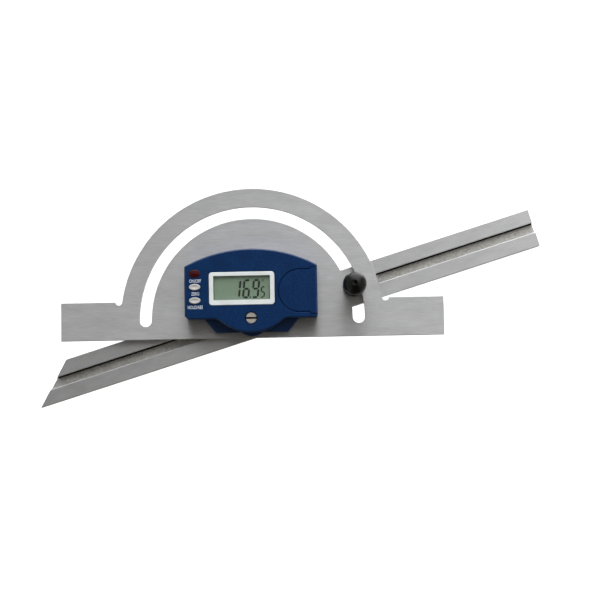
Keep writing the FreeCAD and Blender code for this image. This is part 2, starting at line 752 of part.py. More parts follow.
def battery_cover():
    lid = lid_shape(0)
    inner = [e for e in edges_at(lid, cover_front) if e.BoundBox.XMin < lid_wide_x + assembly_clearance]
    lid = lid.makeChamfer(lid_edge_break, inner)
    outer = [e for e in edges_at(lid, cover_front) if e.BoundBox.XMin > cover_half_width - assembly_clearance]
    return lid.makeFillet(cover_edge_round, outer)


# --- Screws of the display unit -----------------------------------------------------------------------------------

def mount_screws():
    seat = plate_back + mount_head_recess
    screws = []
    for x, y in mount_screw_xy:
        screw = countersunk_body(x, y, 0, board_back - mount_screw_end)
        screws.append(screw.cut(cross_recess(x, y, mount_screw_radius, seat - OVERCUT, seat + driver_depth)))
    return Part.makeCompound(screws)


def case_screws():
    screws = []
    for x, y in case_screw_xy:
        screw = case_screw_body(x, y, 0)
        screws.append(screw.cut(cross_recess(x, y, case_screw_radius, plate_front - OVERCUT,
                                             plate_front + driver_depth)))
    return Part.makeCompound(screws)


# --- Export -------------------------------------------------------------------------------------------------------

def build():
    nodes = {
        "protractor_plate": protractor_plate(),
        "rail": rail(),
        "pivot_bush": pivot_bush(),
        "pivot_hub": pivot_hub(),
        "curved_spring": curved_spring(),
        "rotor_carrier": rotor_carrier(),
        "rotor_disc": rotor_disc(),
        "spacer_sleeve": spacer_sleeve(),
        "pivot_screw": pivot_screw(),
        "clamp_bolt": clamp_bolt(),
        "clamp_washer": clamp_washer(),
        "clamp_knob": clamp_knob(),
        "knob_insert": knob_insert(),
        "rear_cover": rear_cover(),
        "front_cover": front_cover(),
        "display_bezel": display_bezel(),
        "display_window": display_sheet(lcd_top, lens_top),
        "lcd_panel": display_sheet(lcd_back, lcd_top),
        "lcd_connector_strips": lcd_connector_strips(),
        "power_button": button(0),
        "zero_button": button(1),
        "hold_button": button(2),
        "power_dome": button_dome(0),
        "zero_dome": button_dome(1),
        "hold_dome": button_dome(2),
        "sensor_board": sensor_board(),
        "board_components": board_components(),
        "coin_cell": coin_cell(),
        "cell_contact_negative": cell_contact_negative(),
        "cell_contact_positive": cell_contact_positive(),
        "battery_cover": battery_cover(),
        "mount_screws": mount_screws(),
        "case_screws": case_screws(),
    }
    os.makedirs("parts", exist_ok=True)
    for name, shape in nodes.items():
        solids = shape.Solids
        print(f"{name}: {len(solids)} solid(s), {shape.Volume:.1f} mm3, valid {shape.isValid()}")
        shape.exportStep(f"parts/{name}.step")


build()
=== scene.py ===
"""Visual model of a digital angle finder with a slotted bow, a sliding rail and a display unit.

Millimetre sizes are turned to metres where they are used. +X runs along the base, +Y to the top of the bow
and +Z out of the display.
"""

import json
import math
from collections import namedtuple

import bmesh
import bpy
from bpy.props import FloatProperty, FloatVectorProperty, PointerProperty, StringProperty
from bpy.types import Operator, Panel, PropertyGroup
from mathutils import Matrix, Vector


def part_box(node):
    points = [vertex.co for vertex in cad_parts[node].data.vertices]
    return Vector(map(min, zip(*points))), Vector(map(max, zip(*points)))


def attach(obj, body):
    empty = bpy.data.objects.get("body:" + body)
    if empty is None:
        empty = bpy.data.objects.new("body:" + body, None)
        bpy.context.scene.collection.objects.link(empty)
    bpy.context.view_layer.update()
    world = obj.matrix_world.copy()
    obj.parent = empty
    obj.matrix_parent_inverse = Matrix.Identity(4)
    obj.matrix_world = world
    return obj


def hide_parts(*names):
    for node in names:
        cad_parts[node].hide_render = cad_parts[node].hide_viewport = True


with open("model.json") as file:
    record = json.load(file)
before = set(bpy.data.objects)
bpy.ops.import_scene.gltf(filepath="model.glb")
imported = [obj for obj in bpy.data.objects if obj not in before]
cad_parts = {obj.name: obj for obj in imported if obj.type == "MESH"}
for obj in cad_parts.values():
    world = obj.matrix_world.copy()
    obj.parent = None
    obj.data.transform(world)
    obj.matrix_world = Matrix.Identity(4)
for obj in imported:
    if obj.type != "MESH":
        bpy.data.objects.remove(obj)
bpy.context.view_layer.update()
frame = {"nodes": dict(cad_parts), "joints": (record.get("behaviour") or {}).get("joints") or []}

bl_info = {
    "name": "Digital angle finder",
    "version": (1, 0, 0),
    "blender": (4, 5, 0),
    "location": "3D View > Sidebar > Angle finder",
    "description": "Builds the visible pieces and finishes of a digital angle finder with a sliding rail",
    "category": "Object",
}

MM = 0.001
HAIR = 1e-6    # metres: what is nearer than this counts as the same place
RAIL_AXIS = next(joint["axis"] for joint in frame["joints"] if joint["name"] == "rail_slide")
RAIL_ANGLE = math.atan2(RAIL_AXIS[1], RAIL_AXIS[0])

# The hollow of a groove or slot through the pivot: half its width, and the heights of its floor and top.
Hollow = namedtuple("Hollow", "half_width floor top")


def linear(code):
    """Scene-linear colour of an sRGB hex code."""
    parts = [int(code[i:i + 2], 16) / 255 for i in (0, 2, 4)]
    return tuple(p / 12.92 if p <= 0.04045 else ((p + 0.055) / 1.055) ** 2.4 for p in parts)


def colour_setting(name, code, description):
    return FloatVectorProperty(name=name, description=description, subtype="COLOR", size=3, min=0, max=1,
                               default=linear(code))


def size_setting(name, millimetres, description):
    return FloatProperty(name=name, description=description, unit="LENGTH", precision=5,
                         default=millimetres * MM)


# --- Settings -----------------------------------------------------------------------------------------------

class SteelSettings(PropertyGroup):
    """Ground steel of the plate and the rail."""
    light: colour_setting("Steel, light grain", "E9EAEC", "Colour of the bright lines that grinding leaves")
    dark: colour_setting("Steel, dark grain", "CFD0D1", "Colour of the dark lines that grinding leaves")
    milled: colour_setting("Milled groove", "E6E5E1", "Colour of the milled floor of the groove")
    grain_width: size_setting("Grain width", 0.4,
                              "Width of one grinding line, drawn coarser than the real one")
    grain_length: size_setting("Grain length", 6, "Length of one grinding line")
    roughness: FloatProperty(name="Roughness", description="Mean roughness of ground steel", subtype="FACTOR",
                             default=0.56, min=0, max=1)
    anisotropy: FloatProperty(name="Anisotropy", description="How much the grinding lines stretch the gloss",
                              subtype="FACTOR", default=0.8, min=0, max=1)


class CoverSettings(PropertyGroup):
    """Mouldings of the display unit."""
    blue: colour_setting("Cover blue", "052A55", "Colour of the two covers and the battery lid")
    white: colour_setting("Bezel white", "E0E6E6", "Colour of the display's frame")
    print_white: colour_setting("Print white", "DCE3EA", "Colour of the words under the buttons")
    grain: size_setting("Mould grain", 0.35, "Size of the spark-eroded grain of the covers")


class ButtonSettings(PropertyGroup):
    """Buttons at the left of the display."""
    red: colour_setting("Power red", "3A050A", "Colour of the power button")
    white: colour_setting("Button white", "BAB9B7", "Colour of the other buttons")
    flange: size_setting("Flange", 0.5, "How far the hidden flange stands out")
    flange_height: size_setting("Flange height", 0.6, "Thickness of the hidden flange")
    rim: size_setting("Rim rounding", 0.35, "Rounding of the button's upper edge")
    dish: size_setting("Dish depth", 0.3, "Depth of the finger dish")
    crown: size_setting("Crown height", 0.25, "Height of the power button's crown")


class DisplaySettings(PropertyGroup):
    """Liquid crystal display and its reading."""
    glass: colour_setting("Display green", "889E88", "Colour of the reflector behind the liquid crystal")
    segment: colour_setting("Segment", "0B120E", "Colour of a segment that is switched on")
    reading: StringProperty(name="Reading", description="Large digits, with a point", default="16.9")
    small_reading: StringProperty(name="Small digit", description="Last, smaller digit", default="5")
    digit_height: size_setting("Digit height", 9.6, "Between the middles of the top and bottom segments")
    digit_width: size_setting("Digit width", 3.0, "Between the middles of the side segments")
    pitch: size_setting("Digit pitch", 5.26, "From one digit to the next")
    stroke: size_setting("Stroke", 1.16, "Width of a segment")
    slant: FloatProperty(name="Slant", description="Sideways lean of the digits for each unit of height",
                         default=0.105)


class KnobSettings(PropertyGroup):
    """Ball knob of the clamp."""
    black: colour_setting("Knob black", "020303", "Colour of the phenolic ball knob")
    ball_radius: size_setting("Ball radius", 6.62, "Radius of the ball")
    stem_radius: size_setting("Stem radius", 4.4, "Radius of the stem")
    foot_radius: size_setting("Foot radius", 5.9, "Radius of the foot on the washer")
    foot_height: size_setting("Foot height", 2.0, "Height of the foot")
    dimple_radius: size_setting("Dimple radius", 1.4, "Radius of the centre hole on top")
    dimple_depth: size_setting("Dimple depth", 2.0, "Depth of the centre hole on top")
    ball_height: size_setting("Ball height", 16, "From the plate to the middle of the ball")
    core_radius: size_setting("Core radius", 3.4, "Radius of the brass insert's seat")
    core_length: size_setting("Core length", 12, "Length of the brass insert's seat")


class StageSettings(PropertyGroup):
    """Floor, light and camera."""
    floor: colour_setting("Floor", "F4F4F4", "Colour of the floor")
    bright_side: FloatProperty(name="Bright side", description="Light from the walls behind the bow",
                               default=3.45, min=0)
    dim_side: FloatProperty(name="Dim side", description="Light from the walls below the base",
                            default=0.1, min=0)
    side_walls: FloatProperty(name="Side walls", description="Light from the walls at both ends of the base",
                              default=0.5, min=0)
    ceiling: FloatProperty(name="Ceiling", description="Ceiling's light as a share of the walls' light",
                           subtype="FACTOR", default=0.1, min=0, max=1)
    key: FloatProperty(name="Key light", description="Strength of the soft light from behind the bow",
                       default=1.55, min=0)
    floor_light: FloatProperty(name="Floor light", description="Strength of the light on the floor alone",
                               default=3.4, min=0)
    lens: FloatProperty(name="Focal length", description="Focal length of the camera's lens", unit="CAMERA",
                        default=63.1, min=1)


# --- Modelling helpers --------------------------------------------------------------------------------------

def start_clean():
    if bpy.context.mode != "OBJECT":
        bpy.ops.object.mode_set(mode="OBJECT")
    bpy.ops.object.select_all(action="DESELECT")


def settled(name):
    """Names the new object and puts its place into its mesh."""
    piece = bpy.context.active_object
    piece.name = name
    piece.data.name = name
    bpy.ops.object.transform_apply(location=True, rotation=True, scale=True)
    return piece


def edit(piece):
    """Opens the piece alone in edit mode, with nothing selected."""
    start_clean()
    piece.select_set(True)
    bpy.context.view_layer.objects.active = piece
    bpy.ops.object.mode_set(mode="EDIT")
    bpy.ops.mesh.select_all(action="DESELECT")


def middle(part):
    if isinstance(part, bmesh.types.BMVert):
        return part.co
    return sum((v.co for v in part.verts), Vector()) / len(part.verts)


def pick(piece, kind, test):
    """In edit mode, selects only the VERT, EDGE or FACE parts whose middle passes the test."""
    mesh = bmesh.from_edit_mesh(piece.data)
    modes = {"VERT": mesh.verts, "EDGE": mesh.edges, "FACE": mesh.faces}
    bpy.ops.mesh.select_mode(type=kind)
    for parts in modes.values():
        for part in parts:
            part.select = False
    chosen = [part for part in modes[kind] if test(part, middle(part))]
    for part in chosen:
        part.select_set(True)
    if not chosen:
        raise RuntimeError(f"{piece.name}: no {kind.lower()} to shape")
    mesh.select_flush_mode()
    bmesh.update_edit_mesh(piece.data)


def bring(piece, centre, half_x, half_y=None):
    """Scales the selected ring about the upright axis through centre to its new half sizes along X and Y."""
    ring = [v.co - centre for v in bmesh.from_edit_mesh(piece.data).verts if v.select]
    now_x, now_y = (max(abs(at[i]) for at in ring) for i in (0, 1))
    bpy.ops.transform.resize(value=(half_x / now_x, (half_y or half_x) / now_y, 1), center_override=centre)


def pull(piece, centre, half_x=None, rise=0.0, half_y=None):
    """Extrudes the selected ring or face, moves it up by rise and brings it to its new half sizes."""
    bpy.ops.mesh.extrude_region_move(TRANSFORM_OT_translate={"value": (0, 0, rise)})
    if half_x is not None:
        bring(piece, centre, half_x, half_y)


def done(piece, smooth_deg=35):
    """Closes edit mode, points all faces outwards and shades curved faces smooth."""
    if bpy.context.mode == "OBJECT":
        edit(piece)
    bpy.ops.mesh.select_all(action="SELECT")
    bpy.ops.mesh.remove_doubles(threshold=HAIR)
    bpy.ops.mesh.normals_make_consistent(inside=False)
    bpy.ops.object.mode_set(mode="OBJECT")
    bpy.ops.object.shade_smooth_by_angle(angle=math.radians(smooth_deg))
    return piece


def joined(name, pieces):
    start_clean()
    for piece in pieces:
        piece.select_set(True)
    bpy.context.view_layer.objects.active = pieces[0]
    bpy.ops.object.join()
    piece = bpy.context.active_object
    piece.name = name
    piece.data.name = name
    return piece


def dress(piece, material, body, replaces=()):
    """Gives a new piece its finish and the body it moves with."""
    piece.data.materials.clear()
    piece.data.materials.append(material)
    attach(piece, body)
    if replaces:
        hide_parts(*replaces)


def finish_nodes(material, *names):
    """Puts a finish on CAD nodes whose shape stays as it is."""
    for name in names:
        slots = frame["nodes"][name].data.materials
        slots.clear()
        slots.append(material)


# --- Finishes -----------------------------------------------------------------------------------------------

def add_node(tree, kind, sockets=None, **settings):
    """Adds a node, sets its properties, and fills its inputs with values or links."""
    node = tree.nodes.new(kind)
    for name, value in settings.items():
        setattr(node, name, value)
    for name, value in (sockets or {}).items():
        if isinstance(value, bpy.types.NodeSocket):
            tree.links.new(value, node.inputs[name])
        else:
            node.inputs[name].default_value = value
    return node


def new_finish(name, **sockets):
    """A material with one Principled shader, its sockets given by name with _ for a space."""
    material = bpy.data.materials.new(name)
    material.use_nodes = True
    tree = material.node_tree
    shader = tree.nodes["Principled BSDF"]
    for socket, value in sockets.items():
        shader.inputs[socket.replace("_", " ")].default_value = value
    return material, tree, shader


def connect(tree, shader, **outputs):
    """Links outputs to the shader's sockets, given by name with _ for a space."""
    for socket, output in outputs.items():
        tree.links.new(output, shader.inputs[socket.replace("_", " ")])


def opaque(colour):
    return (*colour, 1.0)


def shade(colour, factor):
    """The colour made darker or lighter by a factor, and no lighter than white."""
    return tuple(min(1, part * factor) for part in colour)


def place(tree, size, turn=0.0, at=(0, 0, 0)):
    """Object coordinates, measured in steps of size along a frame turned about Z."""
    coordinates = add_node(tree, "ShaderNodeTexCoord")
    mapping = add_node(tree, "ShaderNodeMapping", {
        "Vector": coordinates.outputs["Object"], "Location": at, "Rotation": (0, 0, turn), "Scale": size},
        vector_type="TEXTURE")
    return mapping.outputs["Vector"]


GRAIN_SPAN = {"From Min": 0.3, "From Max": 0.7}    # nearly all values of a grain lie between these


def grain(tree, size, turn=0.0, at=(0, 0, 0), detail=2.0, roughness=0.5):
    """An uneven pattern with patches of the given size, along a frame turned about Z."""
    pattern = add_node(tree, "ShaderNodeTexNoise", {
        "Vector": place(tree, size, turn, at), "Scale": 1.0, "Detail": detail, "Roughness": roughness})
    return pattern.outputs["Fac"]


def mottled(tree, pattern, dark, light):
    """One colour in the low patches of a grain and another in its high ones."""
    share = add_node(tree, "ShaderNodeMapRange", {"Value": pattern, **GRAIN_SPAN}).outputs["Result"]
    return add_node(tree, "ShaderNodeMix", {0: share, 6: opaque(dark), 7: opaque(light)},
                    data_type="RGBA").outputs[2]


def outside_hollow(tree, hollow, turn=0.0):
    """0 in a hollow along the X axis turned by turn, and 1 outside it, with a soft border."""
    reach = (1, hollow.half_width, (hollow.top - hollow.floor) / 2)
    middle_height = (hollow.top + hollow.floor) / 2
    away = add_node(tree, "ShaderNodeVectorMath", {0: place(tree, reach, turn, (0, 0, middle_height))},
                    operation="ABSOLUTE").outputs[0]
    sides = add_node(tree, "ShaderNodeSeparateXYZ", {0: away})
    furthest = add_node(tree, "ShaderNodeMath", {0: sides.outputs["Y"], 1: sides.outputs["Z"]},
                        operation="MAXIMUM").outputs[0]
    return add_node(tree, "ShaderNodeMapRange", {
        "Value": furthest, "From Min": 0.96, "From Max": 1}).outputs["Result"]


def ground_steel(name, turn, groove=None, painted_shade_edge=0.0):
    """Surface-ground tool steel: lines one way, which stretch the gloss across them, with cloudy wear.

    Real lines are a few hundredths of a millimetre wide, and are drawn coarser so that they show. The inside
    of a groove is milled instead, mottled with oil, and has painted shade, nearly black, along the wall
    nearer the light, where the lip's shadow falls; it begins painted_shade_edge above the groove's middle
    line.
    """
    steel = bpy.context.scene.angle_steel
    material, tree, shader = new_finish(name, Metallic=1.0, Anisotropic=steel.anisotropy)
    across = add_node(tree, "ShaderNodeCombineXYZ", {"X": -math.sin(turn), "Y": math.cos(turn)})
    tangent = add_node(tree, "ShaderNodeVectorTransform", {"Vector": across.outputs["Vector"]},
                       vector_type="VECTOR", convert_from="OBJECT", convert_to="WORLD")
    lines = grain(tree, (steel.grain_length, steel.grain_width, steel.grain_width), turn, detail=3,
                  roughness=0.65)
    passes = grain(tree, (16 * MM, 5 * MM, 5 * MM), turn, (10 * MM, 20 * MM, 0))
    wear = grain(tree, (26 * MM, 14 * MM, 14 * MM), turn, (30 * MM, 10 * MM, 0), detail=3)
    line_share, pass_share = (
        add_node(tree, "ShaderNodeMapRange", {
            "Value": pattern, **GRAIN_SPAN, "To Max": share}).outputs["Result"]
        for pattern, share in ((lines, 0.62), (passes, 0.38)))
    light_share = add_node(tree, "ShaderNodeMath", {0: line_share, 1: pass_share}, operation="ADD").outputs[0]
    colour = add_node(tree, "ShaderNodeMix", {0: light_share, 6: opaque(steel.dark), 7: opaque(steel.light)},
                      data_type="RGBA").outputs[2]
    worn, rough_lines = (
        add_node(tree, "ShaderNodeMapRange", {
            "Value": pattern, **GRAIN_SPAN, "To Min": mean - spread,
            "To Max": mean + spread}).outputs["Result"]
        for pattern, mean, spread in ((wear, 0, 0.04), (lines, steel.roughness, 0.03)))
    rough = add_node(tree, "ShaderNodeMath", {0: worn, 1: rough_lines}, operation="ADD").outputs[0]
    if groove:
        spots = grain(tree, (1.8 * MM, 1 * MM, 1 * MM), turn, detail=4, roughness=0.7)
        milled = mottled(tree, spots, shade(steel.milled, 0.68), shade(steel.milled, 1.12))
        # painted shade: nearly black beside the groove's wall nearer the light, for the lip's shadow
        aside = add_node(tree, "ShaderNodeSeparateXYZ", {0: place(tree, (1, MM, 1), turn)}).outputs["Y"]
        painted_shade = add_node(tree, "ShaderNodeMapRange", {
            "Value": aside, "From Min": painted_shade_edge / MM - 0.5, "From Max": painted_shade_edge / MM}).outputs["Result"]
        milled = add_node(tree, "ShaderNodeMix", {0: painted_shade, 6: milled, 7: opaque(linear("1E1A12"))},
                          data_type="RGBA").outputs[2]
        colour = add_node(tree, "ShaderNodeMix", {
            0: outside_hollow(tree, groove, turn), 6: milled, 7: colour}, data_type="RGBA").outputs[2]
    relief = add_node(tree, "ShaderNodeBump", {"Height": lines, "Distance": 0.006 * MM, "Strength": 0.4})
    connect(tree, shader, Base_Color=colour, Roughness=rough, Normal=relief.outputs["Normal"],
            Tangent=tangent.outputs["Vector"])
    return material


def turned_metal(name, colour, centre, roughness=0.28, slot=None):
    """Metal faced on a lathe: fine rings about its own axis, which make its gloss shimmer.

    A real feed leaves them about 0.1 mm apart, and they are drawn coarser so that they show. A slot is
    painted near black up to its edges: painted shade of the slot's inside.
    """
    material, tree, shader = new_finish(name, Metallic=1.0, Roughness=roughness)
    vector = place(tree, (1, 1, 1), 0, (centre[0], centre[1], 0))
    flat = add_node(tree, "ShaderNodeVectorMath", {0: vector, 1: (1, 1, 0)}, operation="MULTIPLY")
    radius = add_node(tree, "ShaderNodeVectorMath", {0: flat.outputs[0]}, operation="LENGTH")
    feed = 0.4 * MM
    turns = add_node(tree, "ShaderNodeMath", {0: radius.outputs["Value"], 1: 1 / feed}, operation="MULTIPLY")
    rings = add_node(tree, "ShaderNodeTexNoise", {"W": turns.outputs[0], "Scale": 1.0, "Detail": 2.0},
                     noise_dimensions="1D").outputs["Fac"]
    face = mottled(tree, rings, shade(colour, 0.72), colour)
    if slot:
        # painted shade: the slot and a band along its edges are nearly black
        face = add_node(tree, "ShaderNodeMix", {
            0: outside_hollow(tree, slot), 6: opaque(linear("080706")), 7: face}, data_type="RGBA").outputs[2]
    relief = add_node(tree, "ShaderNodeBump", {"Height": rings, "Distance": 0.01 * MM, "Strength": 0.4})
    connect(tree, shader, Base_Color=face, Normal=relief.outputs["Normal"])
    return material


def plated_metal(name, colour, roughness=0.3):
    """Plated or stamped metal: an even skin with a slightly cloudy sheen."""
    material, tree, shader = new_finish(name, Metallic=1.0)
    clouds = grain(tree, (4 * MM,) * 3)
    rough = add_node(tree, "ShaderNodeMapRange", {
        "Value": clouds, **GRAIN_SPAN, "To Min": roughness - 0.02, "To Max": roughness + 0.03})
    connect(tree, shader, Base_Color=mottled(tree, clouds, shade(colour, 0.92), colour),
            Roughness=rough.outputs["Result"])
    return material


def moulded_plastic(name, colour, roughness, mould_grain, depth, ior=1.53):
    """Moulded plastic: the mould's grain as a faint relief, and flow marks a few per cent lighter or darker.

    The grain is drawn coarser than a real spark-eroded one, which is about 0.05 mm, so that it shows.
    """
    material, tree, shader = new_finish(name, IOR=ior)
    flow = grain(tree, (9 * MM,) * 3)
    fine = grain(tree, (mould_grain,) * 3)
    rough = add_node(tree, "ShaderNodeMapRange", {
        "Value": fine, **GRAIN_SPAN, "To Min": roughness - 0.05, "To Max": roughness + 0.07})
    relief = add_node(tree, "ShaderNodeBump", {"Height": fine, "Distance": depth, "Strength": 0.6})
    connect(tree, shader, Base_Color=mottled(tree, flow, shade(colour, 0.9), shade(colour, 1.08)),
            Roughness=rough.outputs["Result"], Normal=relief.outputs["Normal"])
    return material


def foil_grain(tree):
    """The silky streaks of the foil behind a liquid crystal, drawn coarser than real ones so they show."""
    return grain(tree, (0.8 * MM, 3.5 * MM, 1 * MM))


def liquid_crystal(name, colour, centre, half_width):
    """Reflective liquid crystal cell: a grey-green foil with silky streaks, and painted shade at each end."""
    material, tree, shader = new_finish(name, IOR=1.5, Roughness=0.45)
    foil = mottled(tree, foil_grain(tree), shade(colour, 0.93), shade(colour, 1.06))
    # painted shade: dark bands at both ends of the foil, for the shade of the bezel's inner walls
    away = add_node(tree, "ShaderNodeVectorMath", {0: place(tree, (half_width, 1, 1), 0, centre)},
                    operation="ABSOLUTE").outputs[0]
    end = add_node(tree, "ShaderNodeSeparateXYZ", {0: away}).outputs["X"]
    painted_end_shade = add_node(tree, "ShaderNodeMapRange", {
        "Value": end, "From Min": 1 - 0.5 * MM / half_width, "From Max": 1 - 0.2 * MM / half_width})
    face = add_node(tree, "ShaderNodeMix", {0: painted_end_shade.outputs["Result"], 6: foil, 7: opaque(linear("232A24"))},
                    data_type="RGBA")
    connect(tree, shader, Base_Color=face.outputs[2])
    return material


def switched_segment(name, colour):
    """Liquid crystal switched on: nearly black, a little uneven where the foil's streaks show through."""
    material, tree, shader = new_finish(name, IOR=1.5, Roughness=0.4)
    connect(tree, shader,
            Base_Color=mottled(tree, foil_grain(tree), shade(colour, 0.85), shade(colour, 1.15)))
    return material


def clear_sheet(name):
    """Clear acrylic sheet: nearly all light passes, and the polished face keeps a faint, hazy gloss."""
    material, tree, shader = new_finish(name, IOR=1.49, Alpha=0.1, Base_Color=opaque(linear("59655D")))
    haze = add_node(tree, "ShaderNodeMapRange", {
        "Value": grain(tree, (6 * MM,) * 3, detail=1), **GRAIN_SPAN, "To Min": 0.05, "To Max": 0.12})
    connect(tree, shader, Roughness=haze.outputs["Result"])
    return material


def circuit_laminate(name):
    """Glass-fibre board under green solder mask: its tracks are lighter, raised lines, drawn coarse."""
    material, tree, shader = new_finish(name, IOR=1.5, Roughness=0.35)
    cells = add_node(tree, "ShaderNodeTexVoronoi", {"Vector": place(tree, (2.2 * MM,) * 3), "Scale": 1.0},
                     feature="DISTANCE_TO_EDGE", distance="MANHATTAN").outputs["Distance"]
    bare = add_node(tree, "ShaderNodeMapRange", {
        "Value": cells, "From Min": 0.06, "From Max": 0.1}).outputs["Result"]
    mask = add_node(tree, "ShaderNodeMix", {
        0: bare, 6: opaque(linear("2F7A4A")), 7: opaque(linear("0E4A26"))}, data_type="RGBA").outputs[2]
    relief = add_node(tree, "ShaderNodeBump", {"Height": bare, "Distance": 0.03 * MM, "Strength": 1.0})
    connect(tree, shader, Base_Color=mask, Normal=relief.outputs["Normal"])
    return material


def matt_paper(name, colour):
    """Matt paper: pale and without gloss, with patches of its fibres a trace darker, drawn coarse."""
    material, tree, shader = new_finish(name, Roughness=0.9)
    fibres = add_node(tree, "ShaderNodeMix", {
        0: grain(tree, (5 * MM,) * 3), 6: opaque(shade(colour, 0.985)), 7: opaque(colour)}, data_type="RGBA")
    connect(tree, shader, Base_Color=fibres.outputs[2])
    return material


# --- Pieces -------------------------------------------------------------------------------------------------

class ANGLE_OT_steel_parts(Operator):
    """Finish the ground steel plate and rail, and the turned and stamped metal parts"""
    bl_idname = "angle.steel_parts"
    bl_label = "Steel and metal parts"

    def execute(self, context):
        low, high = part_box("clamp_washer")
        clamp = (low + high) / 2
        rail_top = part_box("rail")[1].z
        groove = Hollow(half_width=4.5 * MM, floor=rail_top - 2.5 * MM, top=rail_top - 0.3 * MM)
        screw_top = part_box("pivot_screw")[1].z
        # the slot's hollow, widened over its edges, which get painted shade
        slot = Hollow(half_width=0.54 * MM, floor=screw_top - 1.1 * MM, top=screw_top + 0.1 * MM)
        finish_nodes(ground_steel("ground steel, along the base", 0.0), "protractor_plate")
        # painted shade, nearly black, lies on the groove's floor from about 2 mm beside its middle line
        finish_nodes(ground_steel("ground steel, along the rail", RAIL_ANGLE, groove, painted_shade_edge=2.3 * MM),
                     "rail")
        # Turned on the pivot's axis: steel is grey and bright, brass yellow, and oily bronze dull and brown.
        pivot = (0, 0)
        head = turned_metal("turned steel, slotted head", linear("F2EEE6"), pivot, roughness=0.5, slot=slot)
        finish_nodes(head, "pivot_screw")
        finish_nodes(turned_metal("turned steel", linear("D8D4CB"), pivot), "pivot_hub")
        finish_nodes(turned_metal("turned brass", linear("D9B56A"), pivot), "rotor_carrier", "spacer_sleeve")
        finish_nodes(turned_metal("sintered bronze", linear("B07B46"), pivot, roughness=0.4), "pivot_bush")
        # Turned on the clamp's axis.
        finish_nodes(turned_metal("turned steel, clamp bolt", linear("C4C2BC"), clamp), "clamp_bolt")
        finish_nodes(turned_metal("turned brass, knob insert", linear("D9B56A"), clamp), "knob_insert")
        # Rolled spring steel and zinc are pale and even, nickel glossier, and black oxide a dull dark grey.
        finish_nodes(plated_metal("spring steel", linear("BDBBB5")), "curved_spring", "cell_contact_negative",
                     "cell_contact_positive")
        finish_nodes(plated_metal("black oxide steel", linear("3A3A3C"), roughness=0.42), "clamp_washer")
        finish_nodes(plated_metal("zinc-plated steel", linear("C9CBCB")), "mount_screws", "case_screws")
        finish_nodes(plated_metal("nickel-plated cell can", linear("D2D0CA"), roughness=0.2), "coin_cell")
        return {"FINISHED"}


class ANGLE_OT_covers(Operator):
    """Finish the blue mouldings and the hidden parts of the display unit"""
    bl_idname = "angle.covers"
    bl_label = "Covers of the display unit"

    def execute(self, context):
        covers = context.scene.angle_covers
        # The blue shell is satin, its grain just breaking the gloss, and the white frame is a little duller.
        shell = moulded_plastic("moulded ABS, blue", covers.blue, roughness=0.22, mould_grain=covers.grain,
                                depth=0.001 * MM)
        bezel = moulded_plastic("moulded ABS, white", covers.white, roughness=0.32, mould_grain=0.5 * MM,
                                depth=0.004 * MM)
        # Silicone is dull and skin-like, and cast resin sets black with a soft gloss.
        silicone = moulded_plastic("moulded silicone", linear("8E8E8C"), roughness=0.6, mould_grain=0.4 * MM,
                                   depth=0.004 * MM, ior=1.41)
        resin = moulded_plastic("potting resin", linear("1A1A1A"), roughness=0.3, mould_grain=0.6 * MM,
                                depth=0.006 * MM)
        finish_nodes(shell, "front_cover", "rear_cover", "battery_cover")
        finish_nodes(bezel, "display_bezel")
        finish_nodes(clear_sheet("clear acrylic"), "display_window")
        finish_nodes(circuit_laminate("circuit laminate"), "sensor_board", "rotor_disc")
        finish_nodes(silicone, "power_dome", "zero_dome", "hold_dome", "lcd_connector_strips")
        finish_nodes(resin, "board_components")
        return {"FINISHED"}


RIM_STEPS = 5       # rings in a button's rounded rim
FACE_STEPS = 7      # rings in its dished or crowned face
FACE_REACH = 0.92   # how far towards its middle the last ring lies


def model_button(name, node, settings, rise):
    """An oval cap on its flange, with a rounded rim. Its middle is raised by rise, or dished below zero."""
    low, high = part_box(node)
    centre = (low + high) / 2
    half = (high - low) / 2
    flange_top = low.z + settings.flange_height
    start_clean()
    bpy.ops.mesh.primitive_cylinder_add(vertices=96, radius=1, depth=flange_top - low.z,
                                        location=(centre.x, centre.y, (low.z + flange_top) / 2))
    bpy.context.active_object.scale = (half.x, half.y, 1)
    piece = settled(name)
    edit(piece)
    pick(piece, "FACE", lambda face, at: at.z > flange_top - HAIR and len(face.verts) > 4)
    cap_x, cap_y, rim = half.x - settings.flange, half.y - settings.flange, settings.rim
    pull(piece, centre, cap_x, 0, cap_y)
    top = high.z - max(rise, 0)
    pull(piece, centre, rise=top - rim - flange_top)
    for step in range(1, RIM_STEPS + 1):
        turn, before = (math.radians(90 / RIM_STEPS * s) for s in (step, step - 1))
        inward = rim * (1 - math.cos(turn))
        pull(piece, centre, cap_x - inward, rim * (math.sin(turn) - math.sin(before)), cap_y - inward)
    reach = 0.0
    for step in range(1, FACE_STEPS + 1):
        share = math.sin(math.radians(90 * step / FACE_STEPS)) ** 2
        inward = rim + (cap_y - rim) * FACE_REACH * step / FACE_STEPS
        pull(piece, centre, (cap_x - rim) * (cap_y - inward) / (cap_y - rim), rise * (share - reach),
             cap_y - inward)
        reach = share
    return done(piece, smooth_deg=60)


